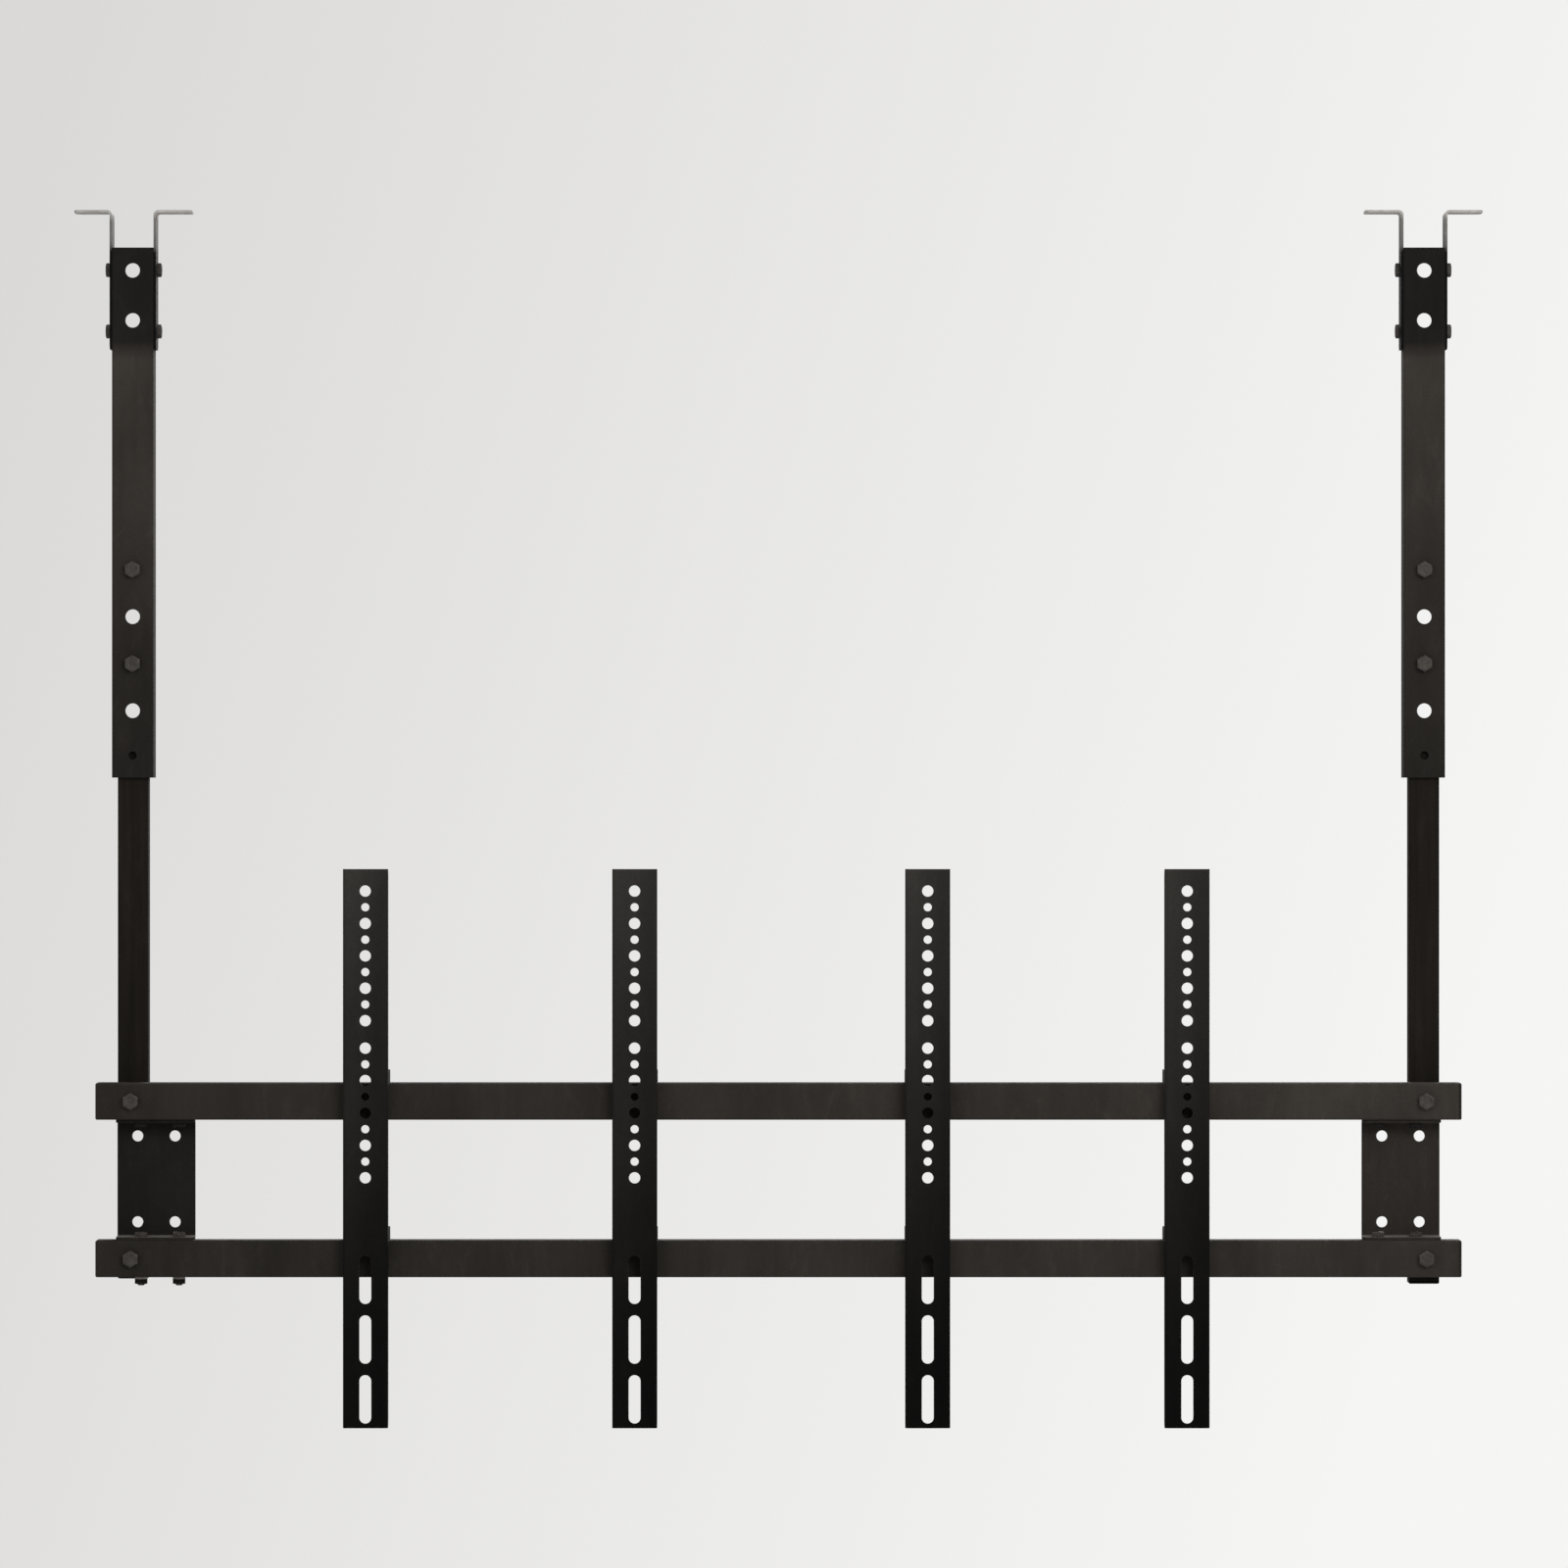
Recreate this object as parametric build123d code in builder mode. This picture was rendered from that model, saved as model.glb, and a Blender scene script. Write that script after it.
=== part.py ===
from build123d import *
from collections import namedtuple
import os

# Sizes in millimetres. The ceiling is at Z = 0, the viewer looks along +Y, the rails run along X.

# Square tubes
tube_corner = 2.0               # outside corner radius of every tube
inner_tube_width = 25.0
inner_tube_wall = 2.0
tube_clearance = 0.5            # each side, between the outer and the inner tube
outer_tube_wall = 4.0
outer_tube_length = 434.0
outer_tube_drop = 30.8          # ceiling to the top of the outer tube
rail_width = 30.0
rail_wall = 1.5
rail_length = 1110.0
rail_overhang = 26.25           # axis of a drop to the end of the rails
upper_rail_drop = 729.1         # ceiling to the axis of the upper rail
rail_spacing = 128.5            # between the axes of the two rails

# Ceiling brackets
bracket_sheet = 2.0
bracket_width = 30.0
bracket_leg = 114.0
bracket_foot = 31.2             # from the side of the tube to the end of the foot
bracket_bend = 2.0              # inside radius of the fold
foot_hole = 8.5
foot_hole_inset = 8.0           # from the end of the foot
foot_corner = 5.0
bracket_bolt_drop = 48.5        # ceiling to the upper bolt
bracket_bolt_pitch = 50.3

# Holes of the outer tube
open_hole = 12.0
rear_open_hole = 22.0           # wide enough for a socket or a cable
top_hole_drop = 18.7            # top of the tube to the first open hole
top_hole_pitch = 40.9
clamp_drop = 263.7              # top of the tube to the first clamp bolt
clamp_pitch = 38.5              # clamp bolts and open holes take turns at this pitch
set_screw_hole = 6.8            # tapping size for M8
set_screw_rise = 18.1           # bottom of the tube to the tapped hole

# Height adjustment
slide_down = 105.0
slide_up = 55.0
slot_end_room = 2.0             # left between a clamp bolt and the end of its slot
slot_side_room = 0.2            # slot is wider than the open holes by this, each side
rear_slot_width = 17.0
slot_land = 15.0                # whole tube left above the slot
inner_tube_overhangs = {        # below the lower rail
    "left": 0.0,
    "right": 4.3,
}

# Plastic plugs in the tube ends
plug_cap = 2.5
plug_cap_edge = 0.8
plug_stem = 8.0
plug_wall = 1.8
plug_clearance = 0.1

# End plates between the rails
plate_sheet = 2.5
plate_width = 63.8
plate_bend = 2.0
plate_flange = 25.0
plate_corner = 4.0
plate_hole = 9.0
plate_hole_across = 30.6
plate_hole_up = 70.3
rear_plate_hole = 14.0          # in the back of the inner tube, for the nut of a bolt through the plate
plate_bolt_pitch = 31.0
plate_bolt_gap = 0.75           # left between a plate bolt and the rail bolt that crosses it

# Uprights
upright_sheet = 2.0
upright_width = 36.6
upright_length = 455.5
upright_depth = 14.0
upright_bend = 1.0
upright_drop = 539.3            # ceiling to the top of the uprights
upright_end_round = 8.0
upright_places = {
    "left_outer_upright": -336.6,
    "left_inner_upright": -117.2,
    "right_inner_upright": 121.6,
    "right_outer_upright": 333.0,
}
hook_clearance = 0.3            # between an upright and the rails
hook_arm = 10.0
hook_finger = 8.0
hook_drop = 12.0                # how far a finger reaches down behind its rail
hook_round = 3.5
hook_inner_round = 1.2
screw_hole = 9.2
small_screw_hole = 6.7
screw_hole_inset = 17.9         # end of the upright to the first hole
screw_hole_pitch = 26.4
screw_holes_in_group = 5
screw_hole_groups = 2
screw_group_gap = 22.4          # last hole of one group to the first of the next
slot_width = 9.7
slot_length = 39.5
slot_pitch = 48.7
slot_count = 3
slot_inset = 3.8                # end of the last slot to the end of the upright

# Fasteners
m8_diameter = 8.0
m8_across_flats = 12.0
m8_head = 5.3
m8_nut = 6.5
m6_diameter = 6.0
m6_across_flats = 10.0
m6_head = 4.0
m6_nut = 5.0
m6_lock_nut = 6.0
bolt_hole_clearance = 0.5       # each side, round a bolt's shank
thread_clearance = 0.1
bolt_overrun = 3.0              # past an open nut
lock_nut_overrun = 1.2
blind_bolt_overrun = 1.0        # past a nut inside a tube
hex_sides = 6
hex_chamfer = 0.8

# Worked-out sizes and places
HexSize = namedtuple("HexSize", "diameter across_flats head nut hole")
m8 = HexSize(m8_diameter, m8_across_flats, m8_head, m8_nut, m8_diameter + 2 * bolt_hole_clearance)
m6 = HexSize(m6_diameter, m6_across_flats, m6_head, m6_nut, m6_diameter + 2 * bolt_hole_clearance)
m6_lock = m6._replace(nut=m6_lock_nut)

sides = {"left": -1, "right": 1}
drop_x = rail_length / 2 - rail_overhang
outer_tube_inside = inner_tube_width + 2 * tube_clearance
outer_tube_width = outer_tube_inside + 2 * outer_tube_wall
outer_tube_bottom = -outer_tube_drop - outer_tube_length
first_clamp_z = -outer_tube_drop - clamp_drop
clamp_heights = [first_clamp_z, first_clamp_z - 2 * clamp_pitch]
open_heights = [first_clamp_z - clamp_pitch, first_clamp_z - 3 * clamp_pitch]
top_hole_z = -outer_tube_drop - top_hole_drop
open_heights += [top_hole_z, top_hole_z - top_hole_pitch]
bracket_bolt_heights = [-bracket_bolt_drop, -bracket_bolt_drop - bracket_bolt_pitch]
bracket_bolt_length = bracket_sheet + outer_tube_wall + m6.nut + blind_bolt_overrun

rail_back = -inner_tube_width / 2
rail_front = rail_back - rail_width
rail_middle = (rail_back + rail_front) / 2
upper_rail_z = -upper_rail_drop
lower_rail_z = upper_rail_z - rail_spacing
rail_heights = [upper_rail_z, lower_rail_z]
upper_rail_bottom = upper_rail_z - rail_width / 2
lower_rail_top = lower_rail_z + rail_width / 2
lower_rail_bottom = lower_rail_z - rail_width / 2

adjust_slot_width = open_hole + 2 * slot_side_room
adjust_slot_top = clamp_heights[0] + m8.diameter / 2 + slide_down + slot_end_room
adjust_slot_bottom = clamp_heights[-1] - m8.diameter / 2 - slide_up - slot_end_room
adjust_slot_length = adjust_slot_top - adjust_slot_bottom
adjust_slot_z = (adjust_slot_top + adjust_slot_bottom) / 2
inner_tube_top = adjust_slot_top + slot_land

plate_x = drop_x + inner_tube_width / 2 - plate_width / 2
plate_z = (upper_rail_z + lower_rail_z) / 2
plate_bolt_x = drop_x - (m8.diameter + m6.diameter) / 2 - plate_bolt_gap
plate_bolt_places = [plate_bolt_x, plate_bolt_x - plate_bolt_pitch]
short_plate_bolt = plate_sheet + rail_wall + m6.nut + blind_bolt_overrun
long_plate_bolt = plate_sheet + rail_width + m6_lock.nut + lock_nut_overrun

upright_top = -upright_drop
upright_bottom = upright_top - upright_length
upright_back = rail_front - hook_clearance
upright_front = upright_back - upright_depth
group_length = (screw_holes_in_group - 1) * screw_hole_pitch
group_pitch = group_length + screw_group_gap
group_drops = [screw_hole_inset + group * group_pitch for group in range(screw_hole_groups)]
screw_hole_drops = [
    drop + place * screw_hole_pitch
    for drop in group_drops
    for place in range(screw_holes_in_group)
]
small_hole_drops = [
    drop + screw_hole_pitch / 2 + place * screw_hole_pitch
    for drop in group_drops
    for place in range(screw_holes_in_group - 1)
]
last_slot_drop = upright_length - slot_inset - slot_length / 2
slot_drops = [last_slot_drop - place * slot_pitch for place in range(slot_count)]


def save(piece, name):
    """Label a finished piece and write it to its own file."""
    piece.part.label = name
    export_step(piece.part, f"parts/{name}.step")


def facing(direction, places):
    """Planes at the given places, all facing one way, with a hexagon's corners up or back."""
    corner = (0, 1, 0) if Vector(direction).Z else (0, 0, 1)
    return [Plane(origin=place, x_dir=corner, z_dir=direction) for place in places]


def square_tube(start, width, wall, length):
    """Add a square tube with rounded corners, from the start plane along its normal."""
    inside = width - 2 * wall
    with BuildSketch(start) as section:
        RectangleRounded(width, width, tube_corner)
        Rectangle(inside, inside, mode=Mode.SUBTRACT)
    extrude(section.sketch, amount=length)


def tube_plug(mouth, width, wall):
    """Moulded plug: a cap over the mouth of a tube and a hollow square stem inside it."""
    stem = width - 2 * wall - 2 * plug_clearance
    hollow = stem - 2 * plug_wall
    with BuildPart() as plug:
        with BuildSketch(mouth):
            RectangleRounded(width, width, tube_corner)
        extrude(amount=plug_cap)
        cap = plug.faces().sort_by(Axis(mouth.origin, mouth.z_dir))[-1]
        chamfer(cap.edges(), plug_cap_edge)
        with BuildSketch(mouth):
            Rectangle(stem, stem)
            Rectangle(hollow, hollow, mode=Mode.SUBTRACT)
        extrude(amount=-plug_stem)
    return plug


def hex_bolts(size, length, seats):
    """Bolts whose heads stand on the seat planes and whose shanks run back through them."""
    along = Axis(seats[0].origin, seats[0].z_dir)
    with BuildPart() as bolts:
        with BuildSketch(*seats):
            RegularPolygon(size.across_flats / 2, hex_sides, major_radius=False)
        extrude(amount=size.head)
        chamfer(bolts.faces().group_by(along)[-1].edges(), hex_chamfer)
        with BuildSketch(*seats):
            Circle(size.diameter / 2)
        extrude(amount=-length)
    return bolts


def hex_nuts(size, seats):
    """Nuts that stand on the seat planes."""
    along = Axis(seats[0].origin, seats[0].z_dir)
    with BuildPart() as nuts:
        with BuildSketch(*seats):
            RegularPolygon(size.across_flats / 2, hex_sides, major_radius=False)
            Circle(size.diameter / 2 + thread_clearance, mode=Mode.SUBTRACT)
        extrude(amount=size.nut)
        chamfer(nuts.faces().group_by(along)[-1].edges().filter_by(GeomType.LINE), hex_chamfer)
    return nuts


def outer_tube(x):
    """Upper tube of a drop, with open holes, clamp bolt holes, a tapped hole and bracket bolt holes."""
    front = -outer_tube_width / 2
    back = outer_tube_width / 2
    set_screw_z = outer_tube_bottom + set_screw_rise
    with BuildPart() as tube:
        square_tube(Plane((x, 0, outer_tube_bottom)), outer_tube_width, outer_tube_wall, outer_tube_length)
        with Locations(*facing((0, -1, 0), [(x, front, z) for z in open_heights])):
            Hole(open_hole / 2, depth=outer_tube_wall)
        with Locations(*facing((0, 1, 0), [(x, back, z) for z in open_heights])):
            Hole(rear_open_hole / 2, depth=outer_tube_wall)
        with Locations(*facing((0, -1, 0), [(x, 0, z) for z in clamp_heights])):
            Hole(m8.hole / 2)
        with Locations(*facing((1, 0, 0), [(x, 0, z) for z in bracket_bolt_heights])):
            Hole(m6.hole / 2)
        with Locations(*facing((0, -1, 0), [(x, front, set_screw_z)])):
            Hole(set_screw_hole / 2, depth=outer_tube_wall)
    return tube


def ceiling_bracket(x, outward):
    """Folded strip: a leg down the side of the tube and a foot against the ceiling, pointing outward."""
    tube_side = outer_tube_width / 2
    foot_end = tube_side + bracket_foot
    section_plane = Plane(origin=(x, 0, 0), x_dir=(outward, 0, 0), z_dir=(0, -outward, 0))
    with BuildPart() as bracket:
        with BuildSketch(section_plane):
            with BuildLine():
                FilletPolyline(
                    (foot_end, 0),
                    (tube_side, 0),
                    (tube_side, -bracket_leg),
                    radius=bracket_bend + bracket_sheet,
                )
                offset(amount=bracket_sheet, side=Side.LEFT)
            make_face()
        extrude(amount=bracket_width / 2, both=True)
        foot_ends = bracket.edges().filter_by(Axis.Z).sort_by(Axis((x, 0, 0), (outward, 0, 0)))[-2:]
        leg_ends = bracket.edges().filter_by(Axis.X).sort_by(Axis.Z)[:2]
        fillet(foot_ends + leg_ends, foot_corner)
        with Locations((x + outward * (foot_end - foot_hole_inset), 0, 0)):
            Hole(foot_hole / 2)
        leg_x = x + outward * (tube_side + bracket_sheet)
        with Locations(*facing((outward, 0, 0), [(leg_x, 0, z) for z in bracket_bolt_heights])):
            Hole(m6.hole / 2, depth=bracket_sheet)
    return bracket


def inner_tube(x, inward, bottom):
    """Sliding tube of a drop, slotted for the clamp bolts and drilled for the rails and the end plate."""
    plate_hole_x = x + inward * (drop_x - plate_x - plate_hole_across / 2)
    plate_hole_heights = [plate_z - plate_hole_up / 2, plate_z + plate_hole_up / 2]
    back = inner_tube_width / 2
    with BuildPart() as tube:
        square_tube(Plane((x, 0, bottom)), inner_tube_width, inner_tube_wall, inner_tube_top - bottom)
        for direction, slot_width in (((0, -1, 0), adjust_slot_width), ((0, 1, 0), rear_slot_width)):
            with BuildSketch(*facing(direction, [(x, 0, adjust_slot_z)])):
                SlotOverall(adjust_slot_length, slot_width)
            extrude(amount=inner_tube_width, mode=Mode.SUBTRACT)
        with Locations(*facing((0, -1, 0), [(x, 0, z) for z in rail_heights])):
            Hole(m8.hole / 2)
        with Locations(*facing((0, -1, 0), [(plate_hole_x, rail_back, z) for z in plate_hole_heights])):
            Hole(plate_hole / 2 + bolt_hole_clearance, depth=inner_tube_wall)
        with Locations(*facing((0, 1, 0), [(x, back, z) for z in plate_hole_heights])):
            Hole(rear_plate_hole / 2, depth=inner_tube_wall)
    return tube


def rail(z, weld_nut_mouths, through_places):
    """Square rail with rail bolt holes, holes over weld nuts in one wall, and upright through holes."""
    left_end = Plane((-rail_length / 2, rail_middle, z), z_dir=(1, 0, 0))
    rail_bolt_places = [(side * drop_x, rail_middle, z) for side in sides.values()]
    with BuildPart() as tube:
        square_tube(left_end, rail_width, rail_wall, rail_length)
        with Locations(*facing((0, -1, 0), rail_bolt_places)):
            Hole(m8.hole / 2)
        with Locations(*weld_nut_mouths):
            Hole(m6.hole / 2, depth=rail_wall)
        if through_places:
            with Locations(*[(place, rail_middle, z) for place in through_places]):
                Hole(m6.hole / 2)
    return tube


def end_plate(side):
    """Folded plate: a web against the inner tube, with flanges forward onto both rails."""
    flange_front = rail_back - plate_flange
    with BuildPart() as plate:
        with BuildSketch(Plane.YZ.offset(side * plate_x)):
            with BuildLine():
                FilletPolyline(
                    (flange_front, lower_rail_top),
                    (rail_back, lower_rail_top),
                    (rail_back, upper_rail_bottom),
                    (flange_front, upper_rail_bottom),
                    radius=plate_bend + plate_sheet,
                )
                offset(amount=plate_sheet, side=Side.LEFT)
            make_face()
        extrude(amount=plate_width / 2, both=True)
        flange_corners = plate.edges().filter_by(Axis.Z).group_by(Axis.Y)[0]
        fillet(flange_corners, plate_corner)
        with BuildSketch(Plane((side * plate_x, rail_back, plate_z), x_dir=(1, 0, 0), z_dir=(0, -1, 0))):
            with GridLocations(plate_hole_across, plate_hole_up, 2, 2):
                Circle(plate_hole / 2)
        extrude(amount=plate_sheet, mode=Mode.SUBTRACT)
        with BuildSketch(Plane.XY.offset(lower_rail_top)):
            with Locations(*[(side * place, rail_middle) for place in plate_bolt_places]):
                Circle(m6.hole / 2)
        extrude(amount=upper_rail_bottom - lower_rail_top, mode=Mode.SUBTRACT)
    return plate


def plate_bolt_mouths(side, z, direction):
    """Planes at the plate bolts of one side, on the face of a rail or flange at height z."""
    return facing(direction, [(side * place, rail_middle, z) for place in plate_bolt_places])


def plate_bolts(mouths, length):
    """Bolts whose heads stand on a flange of the end plate and whose shanks run into a rail."""
    return hex_bolts(m6, length, [mouth.offset(plate_sheet) for mouth in mouths])


def rail_weld_nuts(mouths):
    """Nuts welded to the inside of a rail's wall, behind the mouths of their holes."""
    insides = [mouth.offset(-rail_wall).origin for mouth in mouths]
    return hex_nuts(m6, facing(-mouths[0].z_dir, insides))


def hook_outline(rail_z):
    """Outline of one hook, drawn from the upright over the top of a rail and down behind it."""
    seat = rail_z + rail_width / 2 + hook_clearance
    tip = seat - hook_drop
    finger_front = rail_back + hook_clearance
    finger_back = finger_front + hook_finger
    return [
        (upright_front, seat),
        (finger_front, seat),
        (finger_front, tip),
        (finger_back, tip),
        (finger_back, seat + hook_arm),
        (upright_front, seat + hook_arm),
    ]


def upright(x):
    """Folded channel that hooks over both rails, with rows of screw holes and slots down its face."""
    with BuildPart() as channel:
        with BuildSketch(Plane.YZ.offset(x)) as side_view:
            with Locations((upright_front, upright_bottom)):
                Rectangle(upright_depth, upright_length, align=(Align.MIN, Align.MIN))
            for rail_z in rail_heights:
                with BuildLine():
                    Polyline(*hook_outline(rail_z), close=True)
                make_face()
            finger_backs = side_view.vertices().group_by(Axis.X)[-1]
            fillet(finger_backs, hook_round)
            finger_fronts = side_view.vertices().group_by(Axis.X)[2]
            fillet(finger_fronts, hook_inner_round)
            hook_roots = side_view.vertices().group_by(Axis.X)[1].sort_by(Axis.Y)[1:-1]
            fillet(hook_roots, hook_inner_round)
            flange_corners = side_view.vertices().group_by(Axis.X)[1].sort_by(Axis.Y)
            fillet([flange_corners[0], flange_corners[-1]], upright_end_round)
        extrude(amount=upright_width / 2, both=True)
        front_corners = channel.edges().filter_by(Axis.Z).group_by(Axis.Y)[0]
        fillet(front_corners, upright_bend + upright_sheet)

        # Hollow of the channel, cut from behind the web right through the backs of the hooks
        with BuildSketch(Plane((x, upright_front + upright_sheet, upright_bottom))):
            RectangleRounded(
                upright_width - 2 * upright_sheet,
                2 * (upright_depth + rail_width),
                upright_bend,
                align=(Align.CENTER, Align.MIN),
            )
        extrude(amount=upright_length, mode=Mode.SUBTRACT)

        # Screw holes and slots in the web
        with BuildSketch(Plane((x, upright_front, upright_top), x_dir=(1, 0, 0), z_dir=(0, -1, 0))):
            with Locations(*[(0, -drop) for drop in screw_hole_drops]):
                Circle(screw_hole / 2)
            with Locations(*[(0, -drop) for drop in small_hole_drops]):
                Circle(small_screw_hole / 2)
            with Locations(*[(0, -drop) for drop in slot_drops]):
                SlotOverall(slot_length, slot_width, rotation=90)
        extrude(amount=-upright_sheet, mode=Mode.SUBTRACT)
    return channel


os.makedirs("parts", exist_ok=True)

upper_mouths = []
for side_name, side in sides.items():
    x = side * drop_x

    # Upper tube with its ceiling brackets and clamp bolts
    tube_side = outer_tube_width / 2
    save(outer_tube(x), f"{side_name}_outer_tube")
    for bracket_name, outward in (("outer", side), ("inner", -side)):
        leg_face = x + outward * (tube_side + bracket_sheet)
        inside_face = x + outward * outer_tube_inside / 2
        bolt_seats = facing((outward, 0, 0), [(leg_face, 0, z) for z in bracket_bolt_heights])
        nut_seats = facing((-outward, 0, 0), [(inside_face, 0, z) for z in bracket_bolt_heights])
        save(ceiling_bracket(x, outward), f"{side_name}_{bracket_name}_bracket")
        save(hex_bolts(m6, bracket_bolt_length, bolt_seats), f"{side_name}_{bracket_name}_bracket_bolts")
        save(hex_nuts(m6, nut_seats), f"{side_name}_{bracket_name}_weld_nuts")
    clamp_bolt_length = outer_tube_width + m8.nut + bolt_overrun
    clamp_seats = facing((0, -1, 0), [(x, -tube_side, z) for z in clamp_heights])
    clamp_nut_seats = facing((0, 1, 0), [(x, tube_side, z) for z in clamp_heights])
    save(hex_bolts(m8, clamp_bolt_length, clamp_seats), f"{side_name}_clamp_bolts")
    save(hex_nuts(m8, clamp_nut_seats), f"{side_name}_clamp_nuts")

    # Sliding tube with its plug and the bolts that hold the rails
    inner_tube_bottom = lower_rail_bottom - inner_tube_overhangs[side_name]
    tube_mouth = Plane((x, 0, inner_tube_bottom), z_dir=(0, 0, -1))
    rail_bolt_length = rail_width + inner_tube_width + m8.nut + bolt_overrun
    rail_bolt_seats = facing((0, -1, 0), [(x, rail_front, z) for z in rail_heights])
    rail_nut_seats = facing((0, 1, 0), [(x, inner_tube_width / 2, z) for z in rail_heights])
    save(inner_tube(x, -side, inner_tube_bottom), f"{side_name}_inner_tube")
    save(tube_plug(tube_mouth, inner_tube_width, inner_tube_wall), f"{side_name}_tube_plug")
    save(hex_bolts(m8, rail_bolt_length, rail_bolt_seats), f"{side_name}_rail_bolts")
    save(hex_nuts(m8, rail_nut_seats), f"{side_name}_rail_nuts")

    # End plate, hung from weld nuts in the upper rail
    mouths = plate_bolt_mouths(side, upper_rail_bottom, (0, 0, -1))
    save(end_plate(side), f"{side_name}_end_plate")
    save(plate_bolts(mouths, short_plate_bolt), f"{side_name}_plate_upper_bolts")
    save(rail_weld_nuts(mouths), f"{side_name}_plate_upper_nuts")
    upper_mouths += mouths

# Foot of the left plate: bolts right through the lower rail, with lock nuts beneath
left_mouths = plate_bolt_mouths(sides["left"], lower_rail_top, (0, 0, 1))
lock_nut_seats = plate_bolt_mouths(sides["left"], lower_rail_bottom, (0, 0, -1))
save(plate_bolts(left_mouths, long_plate_bolt), "left_plate_lower_bolts")
save(hex_nuts(m6_lock, lock_nut_seats), "left_plate_lower_nuts")

# Foot of the right plate: bolts into weld nuts in the lower rail
right_mouths = plate_bolt_mouths(sides["right"], lower_rail_top, (0, 0, 1))
save(plate_bolts(right_mouths, short_plate_bolt), "right_plate_lower_bolts")
save(rail_weld_nuts(right_mouths), "right_plate_lower_nuts")

# Rails and the plugs in their ends
left_places = [sides["left"] * place for place in plate_bolt_places]
save(rail(upper_rail_z, upper_mouths, []), "upper_rail")
save(rail(lower_rail_z, right_mouths, left_places), "lower_rail")
for rail_name, rail_z in (("upper", upper_rail_z), ("lower", lower_rail_z)):
    for side_name, side in sides.items():
        rail_mouth = Plane((side * rail_length / 2, rail_middle, rail_z), z_dir=(side, 0, 0))
        save(tube_plug(rail_mouth, rail_width, rail_wall), f"{rail_name}_rail_{side_name}_plug")

for upright_name, upright_x in upright_places.items():
    save(upright(upright_x), upright_name)
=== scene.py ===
import math

import bmesh
import bpy
from mathutils import Matrix, Vector


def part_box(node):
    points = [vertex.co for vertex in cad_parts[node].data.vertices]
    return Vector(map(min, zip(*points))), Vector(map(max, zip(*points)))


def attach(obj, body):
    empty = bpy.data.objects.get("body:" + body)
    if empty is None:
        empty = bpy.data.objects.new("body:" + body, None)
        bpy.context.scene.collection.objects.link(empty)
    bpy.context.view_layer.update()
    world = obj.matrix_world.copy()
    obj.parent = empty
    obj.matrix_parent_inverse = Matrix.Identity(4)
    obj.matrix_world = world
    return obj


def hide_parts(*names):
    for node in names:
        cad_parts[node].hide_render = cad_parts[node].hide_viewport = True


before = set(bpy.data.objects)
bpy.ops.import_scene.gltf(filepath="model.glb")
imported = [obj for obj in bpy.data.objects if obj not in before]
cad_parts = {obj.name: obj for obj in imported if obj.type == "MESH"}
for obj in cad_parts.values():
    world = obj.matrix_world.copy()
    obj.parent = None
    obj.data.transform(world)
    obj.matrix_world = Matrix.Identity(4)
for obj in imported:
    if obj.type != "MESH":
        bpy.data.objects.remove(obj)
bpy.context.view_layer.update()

# Camera: the photograph's viewpoint in metres, and its lens in millimetres
CAMERA_PLACE = (0.0045, -8.0, -0.470)
CAMERA_LENS = 223.9

# Studio: lengths in metres, power in watts, greys of the backdrop from 0 to 255
FLOOR_HEIGHT = -2.4
FLOOR_RADIUS = 7.0
FLOOR_FADE_START = 4.0          # the floor fades into the backdrop between these distances
FLOOR_FADE_END = 0.97 * FLOOR_RADIUS
FLOOR_RINGS = 24
FLOOR_SIDES = 96
FLOOR_GREY = 0.72               # linear, from 0 to 1
ROOM_LIGHT = 0.42               # strength of the plain white light from all sides
VIEW_HALF_WIDTH = 0.08          # sideways reach of the photograph's view, as a share of the distance
BACKDROP_LEFT_GREY = 217
BACKDROP_LEFT_WARMTH = 0.004
BACKDROP_RIGHT_GREY = 245
BACKDROP_RIGHT_WARMTH = 0.002
BACKDROP_FALL = 0.3             # how much paler the backdrop gets downwards, against 1 to the right
BACKDROP_START = 0.05           # where its grey starts and stops to change on that scale
BACKDROP_STOP = 1.15
LAMPS = [
    # name, place, aim, width, height, power
    ("key_lamp", (2.0, -4.2, 1.2), (0.0, 0.0, -0.6), 2.4, 1.8, 84.0),
    ("fill_lamp", (-3.4, -4.0, 0.4), (0.0, 0.0, -0.5), 2.0, 2.0, 30.0),
    ("top_lamp", (0.0, 0.2, 2.8), (0.0, 0.0, -0.5), 2.4, 1.4, 44.0),
    ("back_lamp", (0.8, 4.6, 1.4), (0.0, 0.0, -0.6), 2.4, 1.8, 90.0),
]

# Fasteners, in metres
FRONT = (0, -1, 0)
BACK = (0, 1, 0)
UP = (0, 0, 1)
DOWN = (0, 0, -1)
M8 = {"radius": 0.004, "pitch": 0.00125, "head": 0.0053, "threaded": 0.016}
M6 = {"radius": 0.003, "pitch": 0.001, "head": 0.004, "threaded": 0.009}
LARGE_HEX = 0.0115              # wider hexagons are M8, narrower ones M6
RING_POINTS = 48
HEX_SIDES = 6
CHAMFER_SLOPE = math.tan(math.radians(30))
CHAMFER_CIRCLE = 0.92           # chamfer circle of a hexagon, as a share of its width across flats
DISH_DEPTH = 0.00025            # shallow dish in the top of a bolt head
DISH_FLOOR = 0.55               # floor and rim of the dish, as shares of the chamfer circle
DISH_RIM = 0.62
WASHER_FACE_HEIGHT = 0.0003     # round step beneath a bolt head
WASHER_FACE_WIDTH = 0.97        # share of the head's width across flats
THREAD_DEPTH = 0.61             # share of the pitch
THREAD_STEPS = 8                # rings in a pitch
MOST_THREADED = 0.85            # longest thread, as a share of the shank
TIP_LENGTH = 0.8                # tapered tip of a shank, as a share of the pitch
TIP_RADIUS = 0.74               # share of the shank's radius
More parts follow.
